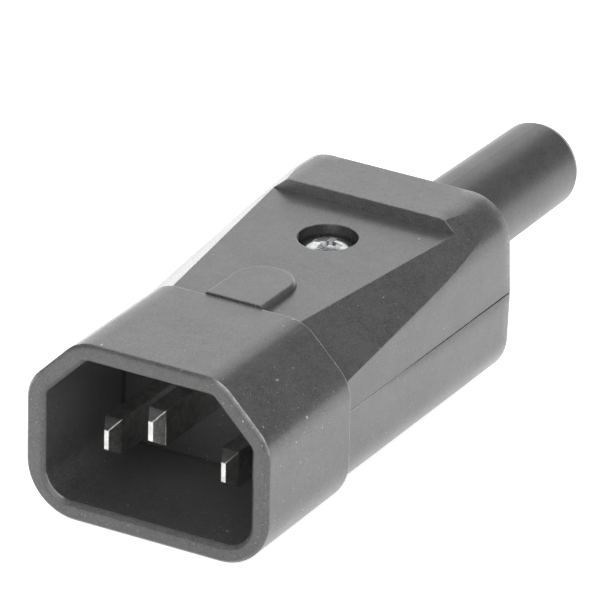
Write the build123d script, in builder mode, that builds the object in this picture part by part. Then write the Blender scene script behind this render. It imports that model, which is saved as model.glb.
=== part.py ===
from build123d import *
import os
from math import radians, sqrt, tan

# Rewirable three-pin appliance plug, male, with a two-part housing and a cable sleeve.
# X runs across the plug, Y from the mouth at the front to the sleeve at the rear, Z is up.
# The origin lies under the middle of the plug, on the surface it rests on. Millimetres.

# Mouth of the shroud
opening_width = 24.6
opening_height = 16.4
opening_corner_cut = 4.8
opening_cut_radius = 1.0
opening_lower_radius = 3.0
cavity_depth = 16.0

# Shroud around the mouth
rim_side = 2.15
rim_top = 2.0
rim_corner_cut = 6.0
rim_cut_radius = 4.5
rim_lower_radius = 5.8
rim_outer_edge = 0.3
rim_inner_edge = 0.45
rim_rear_edge = 0.1
shroud_length = 17.0
shroud_side_draft = 1.0

# Flat pins
pin_spacing = 14.0
pin_rise = 4.0
pin_thickness = 2.0
pin_height = 4.0
pin_tip_thickness = 0.5
pin_tip_height = 2.2
pin_tip_length = 1.45
line_pin_setback = 3.6
earth_pin_setback = 0.75
pin_slot_clearance = 0.05

# Screw terminals behind the pins
terminal_length = 9.0
terminal_width = 5.4
terminal_height = 6.5
wire_bore = 2.6
wire_bore_depth = 7.0
terminal_screw_setback = 3.5
terminal_screw_diameter = 3.0
terminal_screw_length = 2.9
terminal_head_diameter = 4.6
terminal_head_height = 1.4
terminal_head_gap = 0.4
barrier_thickness = 1.0
barrier_overhang = 0.5

# Housing halves, parted on the cable's axis
parting_rise = 1.1
housing_front_width = 27.6
housing_rear_width = 26.9
housing_length = 35.4
upper_height = 10.4
lower_height = 10.3
side_draft = 2.0
upper_corner_radius = 4.8
lower_corner_radius = 5.0
rear_edge = 0.8
shell_wall = 2.0
joint_gap = 0.1
groove_front_height = 0.05
groove_rear_height = 0.2
groove_depth = 0.5
lip_height = 0.9
lip_thickness = 0.8
fit_clearance = 0.1

# Sunk grips on top and underneath, in front of the raised rear band
band_length = 8.65
grip_front_height = 8.55
grip_rear_height = 9.05
grip_front_width = 15.4
grip_rear_width = 22.1
facet_side_height = 3.5
step_lean = 0.35
lower_grip_height = 9.6

# Thumb pad on the upper grip
pad_width = 6.8
pad_length = 9.0
pad_height = 0.82
pad_draft = 15.0
pad_edge_radius = 0.4

# Collar of the contact carrier inside the housing
collar_length = 5.0
collar_clearance = 0.15
rib_offset = 1.8
rib_width = 1.4
rib_depth = 0.8

# Housing screw
housing_screw_offset = 19.15
counterbore_diameter = 6.5
counterbore_depth = 2.2
housing_screw_diameter = 3.0
screw_tip_clearance = 0.5
housing_head_diameter = 5.8
housing_head_edge = 1.0
housing_head_height = 1.7
cross_width = 0.9
cross_length = 3.3
cross_depth = 1.2
cross_draft = 18.0
screw_hole_clearance = 0.2
screw_boss_diameter = 8.2

# Cable clamp
cable_diameter = 6.6
clamp_gap = 0.3
clamp_width = 20.4
clamp_length = 4.6
clamp_height = 4.4
clamp_seat_rise = 0.6
clamp_screw_spacing = 14.4
clamp_screw_diameter = 2.6
clamp_screw_engagement = 4.6
clamp_head_diameter = 4.4
clamp_head_height = 1.5
slot_width = 0.8
slot_depth = 0.7

# Cable sleeve
sleeve_length = 30.2
sleeve_base_diameter = 10.4
sleeve_end_diameter = 9.8
sleeve_end_edge = 1.0
sleeve_neck_diameter = 9.4
sleeve_flange_diameter = 13.6
sleeve_flange_length = 1.8
sleeve_bore_edge = 0.4

# Stations along the plug and levels above the surface it rests on
shroud_width = opening_width + 2 * rim_side
shroud_height = opening_height + 2 * rim_top
overall_length = shroud_length + housing_length + sleeve_length
front_y = -overall_length / 2
shroud_rear_y = front_y + shroud_length
housing_front_y = shroud_rear_y + joint_gap
housing_rear_y = shroud_rear_y + housing_length
sleeve_end_y = housing_rear_y + sleeve_length
step_y = housing_rear_y - band_length
collar_rear_y = shroud_rear_y + collar_length
terminal_rear_y = collar_rear_y + terminal_length
terminal_screw_y = terminal_rear_y - terminal_screw_setback
housing_screw_y = shroud_rear_y + housing_screw_offset
flange_rear_y = housing_rear_y - shell_wall - fit_clearance
flange_front_y = flange_rear_y - sleeve_flange_length
clamp_y = flange_front_y - clamp_gap - clamp_length / 2
mouth_z = shroud_height / 2
parting_z = mouth_z + parting_rise
grip_front_z = parting_z + grip_front_height
grip_rear_z = parting_z + grip_rear_height
grip_slope = (grip_rear_z - grip_front_z) / (step_y - housing_front_y)
screw_seat_z = grip_front_z + grip_slope * (housing_screw_y - housing_front_y) - counterbore_depth
floor_z = parting_z - lower_grip_height + shell_wall / 2
pilot_floor_z = floor_z + shell_wall / 2
housing_screw_length = screw_seat_z - pilot_floor_z - screw_tip_clearance
clamp_seat_z = parting_z + clamp_seat_rise
line_pin_z = mouth_z - pin_rise / 2
earth_pin_z = mouth_z + pin_rise / 2

# Pins: name, place across, level and setback of the tip from the rim
pins = (
    ("live_pin", -pin_spacing / 2, line_pin_z, line_pin_setback),
    ("neutral_pin", pin_spacing / 2, line_pin_z, line_pin_setback),
    ("earth_pin", 0, earth_pin_z, earth_pin_setback),
)
pin_places = [(x, z) for _, x, z, _ in pins]
clamp_screw_places = [(-clamp_screw_spacing / 2, clamp_y), (clamp_screw_spacing / 2, clamp_y)]


def section_at(y):
    """Upright plane across the plug at station y, facing the mouth."""
    return Plane.XZ.offset(-y)


def half_width_at(y):
    """Half width of the housing at the parting plane."""
    share = (y - shroud_rear_y) / housing_length
    return (housing_front_width + share * (housing_rear_width - housing_front_width)) / 2


def mouth_outline(width, height, corner_cut):
    """Upright outline with two cut upper corners."""
    right, top = width / 2, height / 2
    with BuildSketch() as outline:
        with BuildLine():
            Polyline(
                (-right, -top),
                (right, -top),
                (right, top - corner_cut),
                (right - corner_cut, top),
                (-right + corner_cut, top),
                (-right, top - corner_cut),
                close=True,
            )
        make_face()
    return outline.sketch


def plan_outline(inset):
    """Plan of the housing at the parting plane, drawn in by inset."""
    rear_y = housing_rear_y - inset
    front_x = half_width_at(housing_front_y) - inset
    rear_x = half_width_at(rear_y) - inset
    with BuildSketch() as plan:
        with BuildLine():
            Polyline(
                (-front_x, housing_front_y),
                (front_x, housing_front_y),
                (rear_x, rear_y),
                (-rear_x, rear_y),
                close=True,
            )
        make_face()
    return plan.sketch


def half_block(up, height, corner_radius, inset):
    """Drafted block of one housing half, drawn in by inset. up is 1 above the parting and -1 below."""
    with BuildPart() as block:
        with BuildSketch(Plane.XY.offset(parting_z)):
            add(plan_outline(inset))
        extrude(amount=up * (height - inset))
        across = block.faces().sort_by(Axis.X)
        draft((across[0], across[-1]), Plane((0, 0, parting_z), z_dir=(0, 0, up)), side_draft)
        crown = block.faces().sort_by(Axis.Z)[-1 if up > 0 else 0]
        fillet(crown.edges().filter_by(Axis.X, reverse=True), corner_radius - inset)
        rear_outline = block.faces().sort_by(Axis.Y)[-1].edges().sort_by(Axis.Z, reverse=up < 0)
        chamfer(rear_outline[1:], rear_edge)
    return block.part


def facet_cutter(inset):
    """Blocks that slice the two long corner facets, which run out on the corners of the rear band."""
    side_x = half_width_at(housing_front_y) - facet_side_height * tan(radians(side_draft))
    top_front = Vector(grip_front_width / 2, housing_front_y, grip_front_z)
    side_front = Vector(side_x, housing_front_y, parting_z + facet_side_height)
    top_rear = Vector(grip_rear_width / 2, step_y, grip_rear_z)
    across = side_front - top_front
    along = top_rear - top_front
    normal = across.cross(along).normalized()
    plane = Plane(top_front - normal * inset, x_dir=across, z_dir=normal)
    with BuildPart() as cutter:
        with BuildSketch(plane):
            Rectangle(2 * housing_front_width, 2 * housing_length)
        extrude(amount=upper_height)
        mirror(about=Plane.YZ)
    return cutter.part


def upper_form(inset):
    """Outer form of the upper half, or its hollow when drawn in by a wall."""
    cutter = facet_cutter(inset)
    above = parting_z + upper_height + shell_wall
    before = housing_front_y - shell_wall
    with BuildPart() as form:
        add(half_block(1, upper_height, upper_corner_radius, inset))
        with BuildSketch(Plane.YZ):
            with BuildLine():
                Polyline(
                    (before, grip_front_z - grip_slope * shell_wall - inset),
                    (step_y + inset, grip_rear_z + grip_slope * inset - inset),
                    (step_y + inset + step_lean, above),
                    (before, above),
                    close=True,
                )
            make_face()
        extrude(amount=housing_front_width, both=True, mode=Mode.SUBTRACT)
        add(cutter, mode=Mode.SUBTRACT)
    return form.part


def lower_form(inset):
    """Outer form of the lower half, or its hollow when drawn in by a wall."""
    below = parting_z - lower_height - shell_wall
    before = housing_front_y - shell_wall
    grip_z = parting_z - lower_grip_height + inset
    with BuildPart() as form:
        add(half_block(-1, lower_height, lower_corner_radius, inset))
        with BuildSketch(Plane.YZ):
            with BuildLine():
                Polyline(
                    (before, grip_z),
                    (step_y + inset, grip_z),
                    (step_y + inset + step_lean, below),
                    (before, below),
                    close=True,
                )
            make_face()
        extrude(amount=housing_front_width, both=True, mode=Mode.SUBTRACT)
    return form.part


def slice_of(solid, start_y, end_y):
    """Length of a solid between two stations."""
    with BuildPart() as length:
        add(solid)
        split(bisect_by=section_at(start_y), keep=Keep.BOTTOM)
        split(bisect_by=section_at(end_y), keep=Keep.TOP)
    return length.part


def side_strips(outer, inner, start_y, end_y):
    """Strips along both side walls, between two depths from the outside."""
    with BuildSketch() as strips:
        with BuildLine():
            Polyline(
                (half_width_at(start_y) - outer, start_y),
                (half_width_at(end_y) - outer, end_y),
                (half_width_at(end_y) - inner, end_y),
                (half_width_at(start_y) - inner, start_y),
                close=True,
            )
        make_face()
        mirror(about=Plane.YZ)
    return strips.sketch


def flat_pin(x, z, setback):
    """Flat blade with a tapered tip, and the screw terminal behind it."""
    tip_y = front_y + setback
    with BuildPart() as pin:
        with BuildSketch(section_at(collar_rear_y)):
            with Locations((x, z)):
                Rectangle(pin_thickness, pin_height)
        extrude(amount=collar_rear_y - tip_y)
        for direction, narrowing in (
            (Axis.Z, pin_thickness - pin_tip_thickness),
            (Axis.X, pin_height - pin_tip_height),
        ):
            tip = pin.faces().sort_by(Axis.Y)[0]
            chamfer(tip.edges().filter_by(direction), narrowing / 2, pin_tip_length, reference=tip)
        with BuildSketch(section_at(terminal_rear_y)):
            with Locations((x, z)):
                Rectangle(terminal_width, terminal_height)
        extrude(amount=terminal_length)
        with BuildSketch(section_at(terminal_rear_y)):
            with Locations((x, z)):
                Circle(wire_bore / 2)
        extrude(amount=wire_bore_depth, mode=Mode.SUBTRACT)
        with BuildSketch(Plane.XY.offset(z + terminal_height / 2)):
            with Locations((x, terminal_screw_y)):
                Circle(terminal_screw_diameter / 2)
        extrude(amount=-terminal_height / 2, mode=Mode.SUBTRACT)
    return pin.part


def slotted_screws(places, head_diameter, head_height, shank_diameter, shank_length):
    """Cheese-head screws, each standing with the underside of its head at a place."""
    with BuildPart() as screws:
        with Locations(*places):
            Cylinder(head_diameter / 2, head_height, align=(Align.CENTER, Align.CENTER, Align.MIN))
            Cylinder(shank_diameter / 2, shank_length, align=(Align.CENTER, Align.CENTER, Align.MAX))
        with Locations(*[(x, y, z + head_height) for x, y, z in places]):
            Box(
                head_diameter,
                slot_width,
                slot_depth,
                align=(Align.CENTER, Align.CENTER, Align.MAX),
                mode=Mode.SUBTRACT,
            )
    return screws.part


# Forms shared by the housing halves and the carrier's collar
upper_outside = upper_form(0)
upper_hollow = upper_form(shell_wall)
lower_outside = lower_form(0)
lower_hollow = lower_form(shell_wall)
rib_front_y = shroud_rear_y + rib_offset
rib_rear_y = rib_front_y + rib_width
collar_inset = shell_wall + collar_clearance
groove_inset = collar_inset + rib_depth
collar_half_forms = [form(collar_inset) for form in (upper_form, lower_form)]
groove_half_forms = [form(groove_inset) for form in (upper_form, lower_form)]
rib_half_forms = [form(shell_wall + rib_depth) for form in (upper_form, lower_form)]

# Collar with a retaining groove, which the housing halves close around
with BuildPart() as collar:
    for form in collar_half_forms:
        add(slice_of(form, housing_front_y, collar_rear_y))
with BuildPart() as collar_core:
    for form in groove_half_forms:
        add(slice_of(form, rib_front_y - fit_clearance, rib_rear_y + fit_clearance))
with BuildPart() as collar_ring:
    for form in collar_half_forms:
        add(slice_of(form, rib_front_y - fit_clearance, rib_rear_y + fit_clearance))
    add(collar_core.part, mode=Mode.SUBTRACT)
collar_front = collar.faces().sort_by(Axis.Y)[0]

# Shroud and contact carrier, one moulding
with BuildPart() as front_shroud:
    with BuildSketch(section_at(shroud_rear_y)):
        with Locations((0, mouth_z)):
            add(mouth_outline(shroud_width, shroud_height, rim_corner_cut))
    extrude(amount=shroud_length)
    sides = front_shroud.faces().filter_by(Axis.X)
    draft(sides, Plane((0, front_y, 0), z_dir=(0, 1, 0)), shroud_side_draft)
    long_edges = front_shroud.edges().group_by(Axis.Y)[1]
    fillet(long_edges.sort_by(Axis.Z)[:2], rim_lower_radius)
    long_edges = front_shroud.edges().filter_by(GeomType.LINE).group_by(Axis.Y)[1]
    fillet(long_edges.sort_by(Axis.Z)[-4:], rim_cut_radius)
    chamfer(front_shroud.faces().sort_by(Axis.Y)[-1].edges(), rim_rear_edge)
    with BuildSketch(section_at(front_y)) as mouth:
        with Locations((0, mouth_z)):
            add(mouth_outline(opening_width, opening_height, opening_corner_cut))
        levels = mouth.vertices().group_by(Axis.Y)
        fillet(levels[1] + levels[2], opening_cut_radius)
        fillet(mouth.vertices().group_by(Axis.Y)[0], opening_lower_radius)
    extrude(amount=-cavity_depth, mode=Mode.SUBTRACT)
    rim = front_shroud.faces().sort_by(Axis.Y)[0]
    chamfer(rim.outer_wire().edges(), rim_outer_edge)
    rim = front_shroud.faces().sort_by(Axis.Y)[0]
    chamfer(rim.inner_wires()[0].edges(), rim_inner_edge)
    add(collar.part)
    add(collar_ring.part, mode=Mode.SUBTRACT)
    extrude(collar_front, amount=joint_gap)
    barrier_x = pin_spacing / 4
    with BuildSketch(section_at(terminal_rear_y + barrier_overhang)):
        with Locations((-barrier_x, mouth_z), (barrier_x, mouth_z)):
            Rectangle(barrier_thickness, pin_rise + terminal_height)
    extrude(amount=terminal_length + barrier_overhang)
    with BuildSketch(section_at(collar_rear_y)):
        with Locations(*pin_places):
            Rectangle(
                pin_thickness + 2 * pin_slot_clearance,
                pin_height + 2 * pin_slot_clearance,
            )
    extrude(amount=collar_rear_y - front_y, mode=Mode.SUBTRACT)
front_shroud.part.label = "front_shroud"

# Thumb pad with sloping sides, rounded at the rear and cut off straight at the front
with BuildPart() as pad_block:
    with BuildSketch(Plane.XY.offset(grip_front_z + pad_height)):
        SlotCenterPoint((0, housing_front_y), (0, housing_front_y + pad_length - pad_width / 2), pad_width)
    extrude(amount=-pad_height - shell_wall / 2, taper=-pad_draft)
with BuildPart() as thumb_pad:
    add(slice_of(pad_block.part, housing_front_y, housing_rear_y))
    fillet(thumb_pad.faces().sort_by(Axis.Z)[-1].edges().sort_by(Axis.Y)[1:], pad_edge_radius)

# Upper housing half with the grip, facets, thumb pad and sunk screw
with BuildPart() as upper_shell:
    add(upper_outside)
    add(upper_hollow, mode=Mode.SUBTRACT)
    add(slice_of(upper_hollow, rib_front_y, rib_rear_y))
    add(slice_of(rib_half_forms[0], rib_front_y, rib_rear_y), mode=Mode.SUBTRACT)
    add(thumb_pad.part)
    with BuildSketch(Plane.XY.offset(parting_z)):
        with Locations((0, housing_screw_y)):
            Circle(screw_boss_diameter / 2)
    extrude(amount=grip_front_height - shell_wall / 2)
    with Locations((0, housing_screw_y, screw_seat_z + counterbore_depth)):
        CounterBoreHole(
            housing_screw_diameter / 2 + screw_hole_clearance,
            counterbore_diameter / 2,
            counterbore_depth,
        )
    with BuildSketch(Plane.XY.offset(parting_z)):
        add(
            side_strips(
                shell_wall - lip_thickness - fit_clearance,
                shell_wall + rib_depth,
                housing_front_y,
                housing_rear_y - shell_wall,
            )
        )
    extrude(amount=lip_height + fit_clearance, mode=Mode.SUBTRACT)
    with BuildSketch(section_at(housing_rear_y)):
        with Locations((0, parting_z)):
            Circle(sleeve_neck_diameter / 2 + fit_clearance)
    extrude(amount=2 * shell_wall, both=True, mode=Mode.SUBTRACT)
upper_shell.part.label = "upper_shell"

# Parting groove around the housing, which widens towards the rear
groove_fall = Vector(0, housing_rear_y - housing_front_y, groove_front_height - groove_rear_height)
with BuildPart() as parting_groove:
    with BuildSketch(Plane.XY.offset(parting_z)):
        add(plan_outline(-groove_depth))
        add(plan_outline(groove_depth), mode=Mode.SUBTRACT)
    extrude(amount=-groove_rear_height)
    groove_floor = Plane(
        (0, housing_rear_y, parting_z - groove_rear_height),
        x_dir=(1, 0, 0),
        z_dir=Vector(1, 0, 0).cross(groove_fall),
    )
    split(bisect_by=groove_floor, keep=Keep.TOP)

# Lower housing half with the screw boss, clamp seats and cable saddle
with BuildPart() as lower_shell:
    add(lower_outside)
    add(lower_hollow, mode=Mode.SUBTRACT)
    add(slice_of(lower_hollow, rib_front_y, rib_rear_y))
    add(slice_of(rib_half_forms[1], rib_front_y, rib_rear_y), mode=Mode.SUBTRACT)
    with BuildSketch(Plane.XY.offset(floor_z)):
        with Locations((0, housing_screw_y)):
            Circle(screw_boss_diameter / 2)
    extrude(amount=parting_z - floor_z)
    with BuildSketch(Plane.XY.offset(floor_z)):
        with Locations((0, clamp_y)):
            Rectangle(clamp_screw_spacing, shell_wall)
        with Locations(*clamp_screw_places):
            Circle(clamp_length / 2)
    extrude(amount=clamp_seat_z - floor_z)
    with BuildSketch(section_at(clamp_y)):
        with Locations((0, parting_z)):
            Circle(cable_diameter / 2)
        with Locations((0, parting_z + cable_diameter / 2)):
            Rectangle(cable_diameter, cable_diameter)
    extrude(amount=clamp_length / 2, both=True, mode=Mode.SUBTRACT)
    with BuildSketch(Plane.XY.offset(floor_z)):
        with Locations((0, terminal_rear_y - terminal_length / 2)):
            Rectangle(pin_spacing + terminal_width, shell_wall)
    extrude(amount=line_pin_z - terminal_height / 2 - floor_z)
    with BuildSketch(Plane.XY.offset(parting_z)):
        with Locations((0, housing_screw_y)):
            Circle(housing_screw_diameter / 2 + pin_slot_clearance)
    extrude(amount=pilot_floor_z - parting_z, mode=Mode.SUBTRACT)
    with BuildSketch(Plane.XY.offset(clamp_seat_z)):
        with Locations(*clamp_screw_places):
            Circle(clamp_screw_diameter / 2 + pin_slot_clearance)
    extrude(amount=-clamp_screw_engagement - screw_tip_clearance, mode=Mode.SUBTRACT)
    with BuildSketch(Plane.XY.offset(parting_z - groove_rear_height)):
        add(
            side_strips(
                shell_wall - lip_thickness,
                shell_wall,
                housing_front_y,
                housing_rear_y - shell_wall - fit_clearance,
            )
        )
    extrude(amount=lip_height + groove_rear_height)
    add(parting_groove.part, mode=Mode.SUBTRACT)
    with BuildSketch(section_at(housing_rear_y)):
        with Locations((0, parting_z)):
            Circle(sleeve_neck_diameter / 2 + fit_clearance)
    extrude(amount=2 * shell_wall, both=True, mode=Mode.SUBTRACT)
lower_shell.part.label = "lower_shell"

# Housing screw with a domed head and a cross recess
with BuildPart() as housing_screw:
    head_top = (0, screw_seat_z + housing_head_height)
    head_edge = (housing_head_diameter / 2, screw_seat_z + housing_head_edge)
    with BuildSketch(section_at(housing_screw_y)):
        with BuildLine():
            Polyline(head_top, (0, screw_seat_z), (head_edge[0], screw_seat_z), head_edge)
            TangentArc(head_top, head_edge, tangent=(1, 0))
        make_face()
    revolve(axis=Axis((0, housing_screw_y, 0), (0, 0, 1)))
    with Locations((0, housing_screw_y, screw_seat_z)):
        Cylinder(
            housing_screw_diameter / 2,
            housing_screw_length,
            align=(Align.CENTER, Align.CENTER, Align.MAX),
        )
    with BuildSketch(Plane.XY.offset(screw_seat_z + housing_head_height)):
        with Locations((0, housing_screw_y)):
            Rectangle(cross_length, cross_width)
            Rectangle(cross_width, cross_length)
    extrude(amount=-cross_depth, taper=cross_draft, mode=Mode.SUBTRACT)
housing_screw.part.label = "housing_screw"

# Cable clamp bar, arched over the cable
with BuildPart() as cable_clamp:
    with BuildSketch(section_at(clamp_y)):
        with Locations((0, clamp_seat_z)):
            Rectangle(clamp_width, clamp_height, align=(Align.CENTER, Align.MIN))
        with Locations((0, parting_z)):
            Circle(cable_diameter / 2, mode=Mode.SUBTRACT)
    extrude(amount=clamp_length / 2, both=True)
    fillet(cable_clamp.edges().filter_by(Axis.Z), clamp_length / 4)
    with BuildSketch(Plane.XY.offset(clamp_seat_z)):
        with Locations(*clamp_screw_places):
            Circle(clamp_screw_diameter / 2 + screw_hole_clearance)
    extrude(amount=clamp_height, mode=Mode.SUBTRACT)
cable_clamp.part.label = "cable_clamp"

# Cable sleeve, seated in the rear wall like a grommet
with BuildPart() as cable_sleeve:
    shoulder_y = housing_rear_y + fit_clearance
    bore_radius = cable_diameter / 2
    end_radius = sleeve_end_diameter / 2
    end_bulge = sleeve_end_edge * (1 - sqrt(0.5))
    with BuildSketch(Plane.YZ):
        with BuildLine():
            Polyline(
                (flange_front_y, parting_z + bore_radius),
                (flange_front_y, parting_z + sleeve_flange_diameter / 2),
                (flange_rear_y, parting_z + sleeve_flange_diameter / 2),
                (flange_rear_y, parting_z + sleeve_neck_diameter / 2),
                (shoulder_y, parting_z + sleeve_neck_diameter / 2),
                (shoulder_y, parting_z + sleeve_base_diameter / 2),
                (sleeve_end_y - sleeve_end_edge, parting_z + end_radius),
                (sleeve_end_y - end_bulge, parting_z + end_radius - end_bulge),
                (sleeve_end_y, parting_z + end_radius - sleeve_end_edge),
                (sleeve_end_y, parting_z + bore_radius + sleeve_bore_edge),
                (sleeve_end_y - sleeve_bore_edge, parting_z + bore_radius),
                close=True,
            )
        make_face()
    revolve(axis=Axis((0, 0, parting_z), (0, 1, 0)))
cable_sleeve.part.label = "cable_sleeve"

# Screws of the terminals and of the cable clamp
terminal_screw_places = [
    (x, terminal_screw_y, z + terminal_height / 2 + terminal_head_gap) for x, z in pin_places
]
terminal_screws = slotted_screws(
    terminal_screw_places,
    terminal_head_diameter,
    terminal_head_height,
    terminal_screw_diameter - 2 * pin_slot_clearance,
    terminal_screw_length,
)
terminal_screws.label = "terminal_screws"
clamp_screws = slotted_screws(
    [(x, y, clamp_seat_z + clamp_height) for x, y in clamp_screw_places],
    clamp_head_diameter,
    clamp_head_height,
    clamp_screw_diameter,
    clamp_height + clamp_screw_engagement,
)
clamp_screws.label = "clamp_screws"

pieces = [
    front_shroud.part,
    upper_shell.part,
    lower_shell.part,
    housing_screw.part,
    cable_clamp.part,
    cable_sleeve.part,
    terminal_screws,
    clamp_screws,
]
for name, x, z, setback in pins:
    pin = flat_pin(x, z, setback)
    pin.label = name
    pieces.append(pin)

os.makedirs("parts", exist_ok=True)
for piece in pieces:
    export_step(piece, f"parts/{piece.label}.step")
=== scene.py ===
from math import cos, pi, radians, sin

import bpy
from mathutils import Matrix, Vector


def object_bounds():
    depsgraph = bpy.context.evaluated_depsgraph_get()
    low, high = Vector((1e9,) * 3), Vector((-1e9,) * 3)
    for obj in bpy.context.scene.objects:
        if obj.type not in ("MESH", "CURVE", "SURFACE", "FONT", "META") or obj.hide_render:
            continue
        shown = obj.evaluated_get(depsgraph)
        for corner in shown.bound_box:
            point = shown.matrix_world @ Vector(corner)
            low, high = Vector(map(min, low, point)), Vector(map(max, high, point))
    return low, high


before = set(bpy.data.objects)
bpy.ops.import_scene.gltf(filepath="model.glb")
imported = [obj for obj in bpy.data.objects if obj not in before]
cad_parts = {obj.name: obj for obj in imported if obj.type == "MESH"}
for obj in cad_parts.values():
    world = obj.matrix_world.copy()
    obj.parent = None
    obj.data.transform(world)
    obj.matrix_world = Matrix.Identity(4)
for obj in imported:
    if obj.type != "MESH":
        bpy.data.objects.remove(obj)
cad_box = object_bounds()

# Looks of a rewirable appliance plug: satin grey mouldings, a rubber sleeve, plated pins and screws.
# Lengths are metres in the CAD frame: X across, Y from the mouth to the sleeve, Z up.
# A pair of numbers that a ramp uses holds the values at which a mask begins and is full.

MM = 0.001

# Camera at the photograph's viewing angle
CAMERA_AZIMUTH = radians(30.03)
CAMERA_ELEVATION = radians(25.12)
CAMERA_ROLL = radians(1.15)
CAMERA_AIM = Vector((0, -10.67 * MM, 15.16 * MM))
CAMERA_DISTANCE = 921.9 * MM
CAMERA_LENS = 530.85
CAMERA_NEAR = 0.01
CAMERA_FAR = 20

# Soft lamps as name, azimuth and elevation in degrees, distance, side and power in watts
LAMPS = (
    ("lamp_back", 210, 25, 0.8, 0.6, 1.13),
    ("lamp_front", 5, 45, 0.8, 0.6, 1.4),
    ("lamp_glint", 48, 36, 0.8, 0.25, 0.48),
)

# Glow of the white surround where the camera sees it, in reflections and as ambient light
WORLD_SEEN = 1.0
WORLD_MIRRORED = 0.16
WORLD_AMBIENT = 0.65
FLOOR_SEEN = 0.8
FLOOR_AMBIENT = 0.0
FLOOR_WHITE = 0.9
FLOOR_SIDE = 6.0
FLOOR_GAP = 0.05 * MM

# The floor's mirrored glow rises behind the object, to its left: over these distances, between these levels
FLOOR_BEHIND = (30 * MM, 90 * MM)
FLOOR_MIRRORED = (0.6, 0.95)

# Rays that look for edges and inner corners, and what counts as an outer place and as an edge
EDGE_SAMPLES = 6
OUTER_OPENNESS = (0.8, 0.97)
EDGE_LIKENESS = (0.99, 0.85)

# Texture of the mouldings: sizes of its noises, and tones as shares of the material's own level
NOISE_RANGE = (0.3, 0.7)
GRAIN_RANGE = (0.35, 0.7)
MOTTLE_SIZE = 5 * MM
MOTTLE_DETAIL = 5.0
MOTTLE_DARK = 0.84
MOTTLE_LIGHT = 1.1
MOTTLE_ROUGHNESS = 0.05
BLOTCH_SIZE = 1.1 * MM
BLOTCH_TONE = 1.7
BLOTCH_SHARE = 0.4
GRAIN_TONE = 2.2
GRAIN_SHARE = 0.6
GRAIN_STRENGTH = 0.8
# Tone of painted shade in the mouth, on the rim and in the screw hole
SHADE_TONE = 0.3

# Inside of the mouth: half width, levels, sum of both at the cut corners, limits of its front, and rear
MOUTH_HALF_WIDTH = 12.4 * MM
MOUTH_LOW = 1.9 * MM
MOUTH_HIGH = 18.5 * MM
MOUTH_CUT = 26.5 * MM
MOUTH_FRONT = (-41.1 * MM, -40.6 * MM)
MOUTH_REAR = -25.2 * MM

# Painted light and shade in the mouth: painted light towards its top and its depth, painted shade on the
# end wall and near the floor
MOUTH_TONE = 3.2
MOUTH_TOP_SHARE = 0.3
MOUTH_DEPTH = (-37 * MM, -29 * MM)
MOUTH_DEPTH_SHARE = 0.4
END_WALL = (-26.2 * MM, -26 * MM)
END_WALL_SHARE = 0.5
LEDGE = (2.1 * MM, 3.1 * MM)
LEDGE_SHARE = 0.3

# Upper lip of the mouth, with painted light: its rear end, its level and how far it faces down
LIP_REAR = -40.6 * MM
LIP_LOW = 12 * MM
LIP_FACING = (-0.58, -0.66)
LIP_FACING_END = (-0.95, -0.85)
LIP_TONE = 5.0
LIP_SHARE = 0.7

# Rim around the mouth, with painted shade to the right and above, and softer edges
RIM_REAR = -39.5 * MM
RIM_FACING = (-0.8, -0.95)
RIM_ACROSS = (-13 * MM, 13 * MM)
RIM_LEVELS = (8 * MM, 18 * MM)
RIM_SHARE = 0.18
RIM_SOFT_FRONT = -41 * MM
RIM_SOFTNESS = 0.5 * MM

# Housing edges that are rounder than the rest, as ranges across and along: facet ends and rear corners
CORNER_SOFTNESS = 3.0 * MM
SOFT_CORNERS = (
    ((10.8 * MM, 11.8 * MM), (-22 * MM, 3 * MM)),
    ((6.5 * MM, 8.5 * MM), (2.9 * MM, 4.2 * MM)),
)

# Hole of the housing screw, with painted shade and a smooth wall
SCREW_HOLE = Vector((0, -5.15 * MM, 0))
SCREW_HOLE_RADIUS = 3.3 * MM
SCREW_HOLE_SHARE = 0.6
SCREW_HOLE_ROUGHNESS = 0.4

# Painted shade in inner corners
CORNER_REACH = 0.4 * MM
CORNER_OPENNESS = (0.85, 0.5)
CORNER_TONE = 0.4
CORNER_SHARE = 0.5

# Seam between the housing halves, with painted light that fills its shade at the front
SEAM_LEVELS = (11.1 * MM, 11.32 * MM)
SEAM_FRONT = -24.1 * MM
SEAM_FADE = (-14 * MM, -7 * MM)
SEAM_PAINTED_LIGHT = 0.35
SEAM_SHARE = 0.8

# Pale edges: faint lines all over, partly wear and partly painted highlight; painted highlights at the
# rear, a painted reflection on the rear band's corners and a painted glint on the rim's upper right
HIGHLIGHT_AND_WEAR_GREY = 0.6
FAINT_EDGE_SHARE = 0.2
EDGE_PATCH_SIZE = 1.2 * MM
EDGE_PATCH_RANGE = (0.4, 0.65)
HIGHLIGHT_LEAST = 0.6
HIGHLIGHT_REAR_END = 11.2 * MM
REAR_FACING = (0.1, 0.3)
REAR_FACING_END = (0.6, 0.5)
REAR_TURN = (0.1, 0.35)
GLINT_RIGHT = (0.15, 0.35)
GLINT_UP = (0.1, 0.3)
GLINT_FORWARD = (-0.08, -0.2)
GLINT_FORWARD_END = (-0.75, -0.6)
BAND_CORNERS_FROM = 8 * MM
BAND_FACING = (0.22, 0.4)
BAND_FACING_END = (0.7, 0.5)

# Dust lies in drifts, thickest on the right of the shroud, and thins out behind it
DUST_GREY = 0.5
DUST_ALONG = (-25 * MM, -20 * MM)
DUST_BEHIND_SHROUD = 0.15
DUST_ACROSS = (5 * MM, 11 * MM)
DUST_LEFT = 0.6
DUST_RIGHT = 2.0
DRIFT_SIZE = 8 * MM
DRIFT_DETAIL = 1.0
DRIFT_RANGE = (0.42, 0.62)
DRIFT_THIN = 0.1
DRIFT_THICK = 1.8

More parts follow.
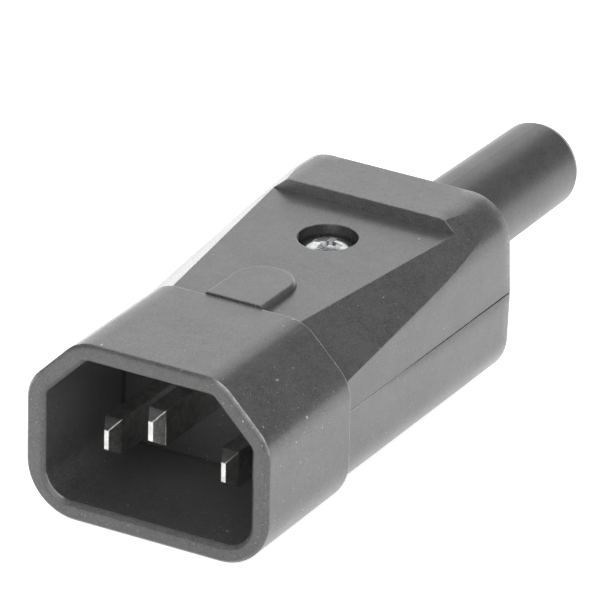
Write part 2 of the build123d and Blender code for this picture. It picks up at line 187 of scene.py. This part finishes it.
# Specks of dust as spacing and radius: fine round ones, and flecks with ragged outlines
SPECK_CORE = 0.6
FINE_DUST = (0.6 * MM, 0.06 * MM)
FLECKS = ((0.9 * MM, 0.08 * MM), (2.0 * MM, 0.16 * MM))
RAGGED_SIZE = 0.25 * MM
RAGGED_SHIFT = 0.4 * MM
RAGGED_MIDDLE = (0.5, 0.5, 0.5)

# Lint: hairlines that lie two ways, turned in radians
LINT_SPECKS = (1.6 * MM, 0.06 * MM)
LINT_STRETCH = (1, 0.07, 1)
LINT_TURNS = ((0, 0, 0.6), (0.4, 0.3, -0.9))
LINT_SHARE = 0.3
LINT_STRENGTH = 0.6

# Texture of plated metal: streaks along one axis, dulled patches and bright edges, partly rubbed and partly
# painted highlight
STREAK_SIZE = 0.12 * MM
STREAK_STRETCH = 0.06
STREAK_DEPTH = 0.001 * MM
STREAK_STRENGTH = 0.4
STREAK_SMOOTH = 0.04
STREAK_ROUGH = 0.05
PATCH_SIZE = 0.8 * MM
PATCH_RANGE = (0.35, 0.65)
PATCH_DARK = 0.85
PATCH_LIGHT = 1.1
METAL_DETAIL = 3.0
METAL_EDGE_TONE = 1.3
METAL_EDGE_WARMTH = 0.5
METAL_EDGE_SHARE = 0.6


def add_node(tree, kind, settings=None, inputs=None):
    """New node with its settings; an input is a plain value or the output socket that feeds it."""
    node = tree.nodes.new(kind)
    for name, value in (settings or {}).items():
        setattr(node, name, value)
    for name, value in (inputs or {}).items():
        if isinstance(value, bpy.types.NodeSocket):
            tree.links.new(value, node.inputs[name])
        else:
            node.inputs[name].default_value = value
    return node


def math_node(tree, operation, first, second=0.0):
    """Output of a math node."""
    return add_node(tree, "ShaderNodeMath", {"operation": operation}, {0: first, 1: second}).outputs[0]


def vector_math(tree, operation, first, second):
    """Outputs of a vector math node: the vector by number, the value by name."""
    settings = {"operation": operation}
    return add_node(tree, "ShaderNodeVectorMath", settings, {0: first, 1: second}).outputs


def product(tree, *factors):
    """Product of several values."""
    result = factors[0]
    for factor in factors[1:]:
        result = math_node(tree, "MULTIPLY", result, factor)
    return result


def inverse(tree, mask):
    """Mask of what another mask leaves out."""
    return math_node(tree, "SUBTRACT", 1.0, mask)


def ramp(tree, value, limits, to_low=0.0, to_high=1.0):
    """Value carried smoothly from its limits onto another range, and clamped there."""
    low, high = limits
    inputs = {"Value": value, "From Min": low, "From Max": high, "To Min": to_low, "To Max": to_high}
    return add_node(tree, "ShaderNodeMapRange", {"interpolation_type": "SMOOTHSTEP"}, inputs).outputs[0]


def between(tree, value, start, end):
    """Mask that rises over one pair of limits and falls over another."""
    return product(tree, ramp(tree, value, start), ramp(tree, value, end))


def split(tree, vector):
    """The three coordinates of a vector."""
    return add_node(tree, "ShaderNodeSeparateXYZ", inputs={0: vector}).outputs


def mix_colour(tree, share, first, second):
    """Output of a colour mix, where share 1 gives the second colour."""
    inputs = {"Factor": share, 6: first, 7: second}
    return add_node(tree, "ShaderNodeMix", {"data_type": "RGBA"}, inputs).outputs[2]


def grey(level, warmth=0.0):
    """Near-neutral colour; positive warmth leans to yellow."""
    return (level * (1 + warmth), level, level * (1 - warmth), 1)


def noise(tree, place, grain, detail=2.0):
    """Noise whose grains are about that size, as a value and as a colour."""
    inputs = {"Vector": place, "Scale": 1 / grain, "Detail": detail}
    return add_node(tree, "ShaderNodeTexNoise", inputs=inputs).outputs


def specks(tree, place, spacing, radius, share):
    """Mask of small round specks in that share of the cells of a random grid."""
    voronoi = add_node(tree, "ShaderNodeTexVoronoi", inputs={"Vector": place, "Scale": 1 / spacing}).outputs
    edge = radius / spacing
    inside = ramp(tree, voronoi["Distance"], (SPECK_CORE * edge, edge), 1.0, 0.0)
    channels = add_node(tree, "ShaderNodeSeparateColor", inputs={0: voronoi["Color"]}).outputs
    return product(tree, inside, math_node(tree, "LESS_THAN", channels[0], share))


def bare_normal(tree):
    """Normal of the surface as it is modelled."""
    return add_node(tree, "ShaderNodeNewGeometry").outputs["Normal"]


def softened(tree, radius):
    """Normal softened along the edges over a radius."""
    return add_node(tree, "ShaderNodeBevel", {"samples": EDGE_SAMPLES}, {"Radius": radius}).outputs[0]


def openness(tree, reach):
    """Share of the surroundings within reach that is open: low in inner corners."""
    settings = {"samples": EDGE_SAMPLES, "only_local": True}
    return add_node(tree, "ShaderNodeAmbientOcclusion", settings, {"Distance": reach}).outputs["AO"]


def outer_places(tree, radius):
    """Mask that leaves out inner corners, looked for over twice the edges' radius."""
    return ramp(tree, openness(tree, 2 * radius), OUTER_OPENNESS)


def edge_lines(tree, soft):
    """Mask of the edges, where a softened normal leaves the modelled one."""
    likeness = vector_math(tree, "DOT_PRODUCT", soft, bare_normal(tree))["Value"]
    return ramp(tree, likeness, EDGE_LIKENESS)


def edge_softness(tree, place, radius):
    """Radius of the edges: wider on the rim, on the rear corners and where the facets run out."""
    across, along, _ = split(tree, place)
    across = math_node(tree, "ABSOLUTE", across)
    wide = ramp(tree, along, (RIM_REAR, RIM_SOFT_FRONT), 0.0, RIM_SOFTNESS)
    for sides, ends in SOFT_CORNERS:
        corner = product(tree, ramp(tree, across, sides), ramp(tree, along, ends), CORNER_SOFTNESS)
        wide = math_node(tree, "MAXIMUM", wide, corner)
    return math_node(tree, "ADD", wide, radius)


def inside_mouth(tree, place):
    """Mask of the inside of the mouth."""
    across, along, height = split(tree, place)
    across = math_node(tree, "ABSOLUTE", across)
    limits = (
        ("LESS_THAN", across, MOUTH_HALF_WIDTH),
        ("GREATER_THAN", height, MOUTH_LOW),
        ("LESS_THAN", height, MOUTH_HIGH),
        ("LESS_THAN", math_node(tree, "ADD", across, height), MOUTH_CUT),
        ("LESS_THAN", along, MOUTH_REAR),
    )
    inside = [math_node(tree, *limit) for limit in limits]
    return product(tree, ramp(tree, along, MOUTH_FRONT), *inside)


def on_upper_lip(tree, along, height):
    """Mask of the narrow edge above the mouth that faces down."""
    front = math_node(tree, "LESS_THAN", along, LIP_REAR)
    high = math_node(tree, "GREATER_THAN", height, LIP_LOW)
    facing = split(tree, bare_normal(tree))["Z"]
    return product(tree, front, high, between(tree, facing, LIP_FACING, LIP_FACING_END))


def on_rim(tree, along):
    """Mask of the rim around the mouth, and of what lies next to it."""
    return math_node(tree, "LESS_THAN", along, RIM_REAR)


def inside_screw_hole(tree, place):
    """Mask of the wall of the housing screw's hole."""
    level = vector_math(tree, "MULTIPLY", place, (1, 1, 0))[0]
    away = vector_math(tree, "DISTANCE", level, SCREW_HOLE)["Value"]
    return math_node(tree, "LESS_THAN", away, SCREW_HOLE_RADIUS)


def in_seam(tree, along, height):
    """Mask of the front of the groove between the housing halves, where painted light fills its shade."""
    low, high = SEAM_LEVELS
    return product(
        tree,
        math_node(tree, "GREATER_THAN", height, low),
        math_node(tree, "LESS_THAN", height, high),
        math_node(tree, "GREATER_THAN", along, SEAM_FRONT),
        ramp(tree, along, SEAM_FADE, 1.0, 0.0),
    )


def edge_highlights_and_wear(tree, place, radius, normal):
    """Mask of pale edges in patches: painted highlights, glint and reflection, and faint lines that are
    partly wear; the normal is the one that the shader uses.
    """
    along = split(tree, place)["Y"]
    soft = softened(tree, radius)
    facing = split(tree, soft)
    outer = outer_places(tree, radius)
    turn = vector_math(tree, "SUBTRACT", soft, bare_normal(tree))[0]
    # Painted highlights on edges that face the rear
    turned_back = ramp(tree, split(tree, turn)["Y"], REAR_TURN)
    facing_back = between(tree, facing["Y"], REAR_FACING, REAR_FACING_END)
    rear = math_node(tree, "MAXIMUM", facing_back, turned_back)
    # Painted glint on the rim's edges that face right, up and forward
    painted_glint = product(
        tree,
        ramp(tree, facing["X"], GLINT_RIGHT),
        ramp(tree, facing["Z"], GLINT_UP),
        between(tree, facing["Y"], GLINT_FORWARD, GLINT_FORWARD_END),
    )
    rim = on_rim(tree, along)
    bright = math_node(tree, "MAXIMUM", product(tree, rear, inverse(tree, rim)), product(tree, painted_glint, rim))
    # Painted reflection on the rear band's rounded corners
    on_band = math_node(tree, "GREATER_THAN", along, BAND_CORNERS_FROM)
    rounded = between(tree, split(tree, normal)["Y"], BAND_FACING, BAND_FACING_END)
    rounded = product(tree, on_band, rounded)
    bright = math_node(tree, "MAXIMUM", product(tree, outer, bright), rounded)
    on_housing = math_node(tree, "LESS_THAN", along, HIGHLIGHT_REAR_END)
    patches = ramp(tree, noise(tree, place, EDGE_PATCH_SIZE)["Fac"], EDGE_PATCH_RANGE)
    bright = product(tree, bright, on_housing, ramp(tree, patches, (0.0, 1.0), HIGHLIGHT_LEAST, 1.0))
    # Faint pale lines on all outer edges, partly wear and partly painted highlight
    faint = product(tree, outer, edge_lines(tree, soft), patches, FAINT_EDGE_SHARE)
    return math_node(tree, "MAXIMUM", faint, bright)


def dust_thickness(tree, place, share):
    """Share of places with dust on them."""
    across, along, _ = split(tree, place)
    front = ramp(tree, along, DUST_ALONG, 1.0, DUST_BEHIND_SHROUD)
    front = math_node(tree, "ADD", front, on_rim(tree, along))
    right = ramp(tree, across, DUST_ACROSS, DUST_LEFT, DUST_RIGHT)
    drifts = noise(tree, place, DRIFT_SIZE, DRIFT_DETAIL)["Fac"]
    drifts = ramp(tree, drifts, DRIFT_RANGE, DRIFT_THIN * share, DRIFT_THICK * share)
    return product(tree, front, right, drifts)


def ragged(tree, place):
    """Point shifted at random, which frays the outlines of what is drawn there."""
    waves = noise(tree, place, RAGGED_SIZE)["Color"]
    waves = vector_math(tree, "SUBTRACT", waves, RAGGED_MIDDLE)[0]
    shift = {0: waves, "Scale": RAGGED_SHIFT}
    shift = add_node(tree, "ShaderNodeVectorMath", {"operation": "SCALE"}, shift).outputs[0]
    return vector_math(tree, "ADD", place, shift)[0]


def dust_and_lint(tree, place, share):
    """Mask of fine dust, a few larger flecks and hairlines."""
    thick = dust_thickness(tree, place, share)
    frayed = ragged(tree, place)
    mask = specks(tree, place, *FINE_DUST, thick)
    for fleck in FLECKS:
        mask = math_node(tree, "MAXIMUM", mask, specks(tree, frayed, *fleck, thick))
    for turn in LINT_TURNS:
        mapping = {"Vector": place, "Rotation": turn, "Scale": LINT_STRETCH}
        drawn_out = add_node(tree, "ShaderNodeMapping", inputs=mapping).outputs[0]
        lint = specks(tree, drawn_out, *LINT_SPECKS, product(tree, thick, LINT_SHARE))
        mask = math_node(tree, "MAXIMUM", mask, product(tree, lint, LINT_STRENGTH))
    return mask


def grained(tree, place, level, mottle, grains):
    """Colour of a clean moulding: mottled, blotched and grained."""
    blotches = noise(tree, place, BLOTCH_SIZE)["Fac"]
    dark = grey(MOTTLE_DARK * level)
    light = grey(MOTTLE_LIGHT * level)
    colour = mix_colour(tree, ramp(tree, mottle, NOISE_RANGE), dark, light)
    share = ramp(tree, blotches, NOISE_RANGE, 0.0, BLOTCH_SHARE)
    colour = mix_colour(tree, share, colour, grey(BLOTCH_TONE * level))
    share = ramp(tree, grains, GRAIN_RANGE, 0.0, GRAIN_SHARE)
    return mix_colour(tree, share, colour, grey(GRAIN_TONE * level))


def shade_mouth(tree, place, level, colour):
    """Colour with painted light and shade in the mouth, painted light on its upper lip and painted shade on
    the rim.
    """
    across, along, height = split(tree, place)
    mouth = inside_mouth(tree, place)
    # Painted light, paler towards the top and the depth of the mouth
    top = ramp(tree, height, (MOUTH_LOW, MOUTH_HIGH), 0.0, MOUTH_TOP_SHARE)
    depth = ramp(tree, along, MOUTH_DEPTH, 0.0, MOUTH_DEPTH_SHARE)
    for paler in (top, depth):
        colour = mix_colour(tree, product(tree, mouth, paler), colour, grey(MOUTH_TONE * level))
    # Painted shade on the end wall and near the floor of the mouth
    end_wall = ramp(tree, along, END_WALL, 0.0, END_WALL_SHARE)
    ledge = ramp(tree, height, LEDGE, LEDGE_SHARE, 0.0)
    shaded = product(tree, mouth, math_node(tree, "MAXIMUM", end_wall, ledge))
    colour = mix_colour(tree, shaded, colour, grey(SHADE_TONE * level))
    # Painted light on the upper lip, which faces down
    lip = product(tree, on_upper_lip(tree, along, height), LIP_SHARE)
    colour = mix_colour(tree, lip, colour, grey(LIP_TONE * level))
    # Painted shade on the rim, growing to the right and upwards
    facing = ramp(tree, split(tree, bare_normal(tree))["Y"], RIM_FACING)
    rim_shade = math_node(tree, "ADD", ramp(tree, across, RIM_ACROSS), ramp(tree, height, RIM_LEVELS))
    rim_shade = product(tree, on_rim(tree, along), facing, rim_shade, RIM_SHARE)
    return mix_colour(tree, rim_shade, colour, grey(SHADE_TONE * level))


def shade_recesses(tree, place, level, hole, colour):
    """Colour with painted shade in the screw hole and in inner corners, and painted light in the front of
    the seam.
    """
    along, height = split(tree, place)[1:]
    seam = in_seam(tree, along, height)
    # Painted shade in inner corners, found by occlusion
    corners = ramp(tree, openness(tree, CORNER_REACH), CORNER_OPENNESS, 0.0, CORNER_SHARE)
    corners = product(tree, corners, inverse(tree, seam))
    # Painted shade on the wall of the screw hole
    colour = mix_colour(tree, product(tree, hole, SCREW_HOLE_SHARE), colour, grey(SHADE_TONE * level))
    colour = mix_colour(tree, corners, colour, grey(CORNER_TONE * level))
    # Painted light in the front of the seam, in place of its shade
    return mix_colour(tree, product(tree, seam, SEAM_SHARE), colour, grey(SEAM_PAINTED_LIGHT))


def new_material(name):
    """Node material, its tree, its main shader and the point in the CAD frame."""
    material = bpy.data.materials.new(name)
    material.use_nodes = True
    tree = material.node_tree
    place = add_node(tree, "ShaderNodeTexCoord").outputs["Object"]
    return material, tree, tree.nodes["Principled BSDF"], place


def moulded(name, level, roughness, coat, coat_roughness, edge_radius, grain, grain_depth, dust_share):
    """Moulded plastic or rubber: grained and mottled, with painted light and shade in the mouth and
    recesses, painted edge highlights with some wear, dust and lint.
    """
    material, tree, shader, place = new_material(name)
    mottle = noise(tree, place, MOTTLE_SIZE, MOTTLE_DETAIL)["Fac"]
    grains = noise(tree, place, grain)["Fac"]
    hole = inside_screw_hole(tree, place)
    normal = softened(tree, edge_softness(tree, place, edge_radius))

    colour = grained(tree, place, level, mottle, grains)
    # Painted light and shade in the mouth, on its upper lip and on the rim
    colour = shade_mouth(tree, place, level, colour)
    # Painted shade in the screw hole and in inner corners, and painted light in the front of the seam
    colour = shade_recesses(tree, place, level, hole, colour)
    # Painted highlights, glint and reflection on edges, and faint edge lines that are partly wear
    colour = mix_colour(tree, edge_highlights_and_wear(tree, place, edge_radius, normal), colour, grey(HIGHLIGHT_AND_WEAR_GREY))
    colour = mix_colour(tree, dust_and_lint(tree, place, dust_share), colour, grey(DUST_GREY))
    tree.links.new(colour, shader.inputs["Base Color"])

    rough = ramp(tree, mottle, NOISE_RANGE, roughness - MOTTLE_ROUGHNESS, roughness + MOTTLE_ROUGHNESS)
    rough = product(tree, rough, ramp(tree, hole, (0.0, 1.0), 1.0, SCREW_HOLE_ROUGHNESS))
    tree.links.new(rough, shader.inputs["Roughness"])

    bump = {"Height": grains, "Distance": grain_depth, "Strength": GRAIN_STRENGTH, "Normal": normal}
    tree.links.new(add_node(tree, "ShaderNodeBump", inputs=bump).outputs[0], shader.inputs["Normal"])
    shader.inputs["Coat Weight"].default_value = coat
    shader.inputs["Coat Roughness"].default_value = coat_roughness
    return material


def plated(name, level, warmth, roughness, edge_radius, streak_axis):
    """Plated metal with faint rubbed streaks along one axis, dulled patches and bright edges that are
    partly rubbed and partly painted highlight.
    """
    material, tree, shader, place = new_material(name)
    stretch = [1.0, 1.0, 1.0]
    stretch[streak_axis] = STREAK_STRETCH
    stretched = add_node(tree, "ShaderNodeMapping", inputs={"Vector": place, "Scale": stretch}).outputs[0]
    streaks = noise(tree, stretched, STREAK_SIZE, METAL_DETAIL)["Fac"]
    patches = noise(tree, place, PATCH_SIZE, METAL_DETAIL)["Fac"]
    normal = softened(tree, edge_radius)

    dark = grey(PATCH_DARK * level, warmth)
    light = grey(PATCH_LIGHT * level, warmth)
    colour = mix_colour(tree, ramp(tree, patches, PATCH_RANGE), dark, light)
    # Bright edges, partly rubbed and partly painted highlight
    edges = product(tree, outer_places(tree, edge_radius), edge_lines(tree, normal), METAL_EDGE_SHARE)
    colour = mix_colour(tree, edges, colour, grey(METAL_EDGE_TONE * level, METAL_EDGE_WARMTH * warmth))
    tree.links.new(colour, shader.inputs["Base Color"])

    rough = ramp(tree, streaks, NOISE_RANGE, roughness - STREAK_SMOOTH, roughness + STREAK_ROUGH)
    tree.links.new(rough, shader.inputs["Roughness"])

    bump = {"Height": streaks, "Distance": STREAK_DEPTH, "Strength": STREAK_STRENGTH, "Normal": normal}
    tree.links.new(add_node(tree, "ShaderNodeBump", inputs=bump).outputs[0], shader.inputs["Normal"])
    shader.inputs["Metallic"].default_value = 1.0
    return material


def dress(nodes, material):
    """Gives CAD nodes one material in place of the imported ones."""
    for name in nodes:
        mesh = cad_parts[name].data
        mesh.materials.clear()
        mesh.materials.append(material)


def glow(tree, seen, mirrored, ambient):
    """Strength of a glowing surround for camera rays, for reflected or refracted rays and for the rest."""
    light_path = add_node(tree, "ShaderNodeLightPath").outputs
    mirror = math_node(tree, "MAXIMUM", light_path["Is Glossy Ray"], light_path["Is Transmission Ray"])
    reflected = product(tree, mirror, math_node(tree, "SUBTRACT", mirrored, ambient))
    direct = product(tree, light_path["Is Camera Ray"], seen - ambient)
    return math_node(tree, "ADD", math_node(tree, "ADD", reflected, direct), ambient)


def floor_material():
    """White paint that also glows where it is seen or mirrored."""
    material = bpy.data.materials.new("studio_floor")
    material.use_nodes = True
    tree = material.node_tree
    tree.nodes.remove(tree.nodes["Principled BSDF"])
    across, along, _ = split(tree, add_node(tree, "ShaderNodeTexCoord").outputs["Object"])
    behind = math_node(tree, "SUBTRACT", along, across)
    strength = glow(tree, FLOOR_SEEN, ramp(tree, behind, FLOOR_BEHIND, *FLOOR_MIRRORED), FLOOR_AMBIENT)
    paint = add_node(tree, "ShaderNodeBsdfDiffuse", inputs={"Color": grey(FLOOR_WHITE)}).outputs[0]
    light = add_node(tree, "ShaderNodeEmission", inputs={"Strength": strength}).outputs[0]
    both = add_node(tree, "ShaderNodeAddShader", inputs={0: paint, 1: light}).outputs[0]
    tree.links.new(both, tree.nodes["Material Output"].inputs["Surface"])
    return material


def build_floor():
    """White floor, a hair below the object, that keeps its shadow."""
    half = FLOOR_SIDE / 2
    corners = [(-half, -half, 0), (half, -half, 0), (half, half, 0), (-half, half, 0)]
    mesh = bpy.data.meshes.new("studio_floor")
    mesh.from_pydata(corners, [], [(0, 1, 2, 3)])
    mesh.materials.append(floor_material())
    floor = bpy.data.objects.new("studio_floor", mesh)
    floor.location.z = cad_box[0][2] - FLOOR_GAP
    bpy.context.scene.collection.objects.link(floor)


def build_world():
    """White surround around and above the floor."""
    world = bpy.data.worlds.new("studio_world")
    world.use_nodes = True
    bpy.context.scene.world = world
    tree = world.node_tree
    background = tree.nodes["Background"]
    background.inputs["Color"].default_value = grey(1.0)
    tree.links.new(glow(tree, WORLD_SEEN, WORLD_MIRRORED, WORLD_AMBIENT), background.inputs["Strength"])


def around(azimuth, elevation):
    """Direction from the object, with azimuth 0 in front of the mouth and positive towards +X."""
    return Vector((sin(azimuth) * cos(elevation), -cos(azimuth) * cos(elevation), sin(elevation)))


def build_lamps():
    """Square soft lamps turned to the object, which the camera doesn't see."""
    for name, azimuth, elevation, distance, side, power in LAMPS:
        light = bpy.data.lights.new(name, "AREA")
        light.size = side
        light.energy = power
        lamp = bpy.data.objects.new(name, light)
        bpy.context.scene.collection.objects.link(lamp)
        direction = around(radians(azimuth), radians(elevation))
        lamp.location = CAMERA_AIM + distance * direction
        lamp.rotation_euler = direction.to_track_quat("Z", "Y").to_euler()
        lamp.visible_camera = False


def build_camera():
    """Long lens at the photograph's place, with its slight roll."""
    data = bpy.data.cameras.new("photo_camera")
    data.lens = CAMERA_LENS
    data.clip_start = CAMERA_NEAR
    data.clip_end = CAMERA_FAR
    camera = bpy.data.objects.new("photo_camera", data)
    bpy.context.scene.collection.objects.link(camera)
    eye = CAMERA_AIM + CAMERA_DISTANCE * around(CAMERA_AZIMUTH, CAMERA_ELEVATION)
    turn = Matrix.Rotation(CAMERA_AZIMUTH, 4, "Z") @ Matrix.Rotation(pi / 2 - CAMERA_ELEVATION, 4, "X")
    camera.matrix_world = Matrix.Translation(eye) @ turn @ Matrix.Rotation(CAMERA_ROLL, 4, "Z")
    bpy.context.scene.camera = camera


housing_plastic = moulded(
    "housing_plastic", level=0.072, roughness=0.42, coat=1.0, coat_roughness=0.25,
    edge_radius=0.3 * MM, grain=0.18 * MM, grain_depth=0.05 * MM, dust_share=0.5,
)
clamp_plastic = moulded(
    "clamp_plastic", level=0.04, roughness=0.5, coat=0.0, coat_roughness=0.4,
    edge_radius=0.2 * MM, grain=0.2 * MM, grain_depth=0.03 * MM, dust_share=0.1,
)
sleeve_rubber = moulded(
    "sleeve_rubber", level=0.058, roughness=0.48, coat=1.0, coat_roughness=0.38,
    edge_radius=0.2 * MM, grain=0.18 * MM, grain_depth=0.03 * MM, dust_share=0.05,
)
plated_pin = plated(
    "plated_pin", level=0.72, warmth=0.015, roughness=0.22, edge_radius=0.18 * MM, streak_axis=1,
)
zinc_screw = plated(
    "zinc_screw", level=0.75, warmth=-0.01, roughness=0.2, edge_radius=0.1 * MM, streak_axis=0,
)
dress(("front_shroud", "upper_shell", "lower_shell"), housing_plastic)
dress(("cable_clamp",), clamp_plastic)
dress(("cable_sleeve",), sleeve_rubber)
dress(("live_pin", "neutral_pin", "earth_pin"), plated_pin)
dress(("housing_screw", "terminal_screws", "clamp_screws"), zinc_screw)

build_floor()
build_world()
build_lamps()
build_camera()
bpy.context.scene.view_settings.view_transform = "Standard"
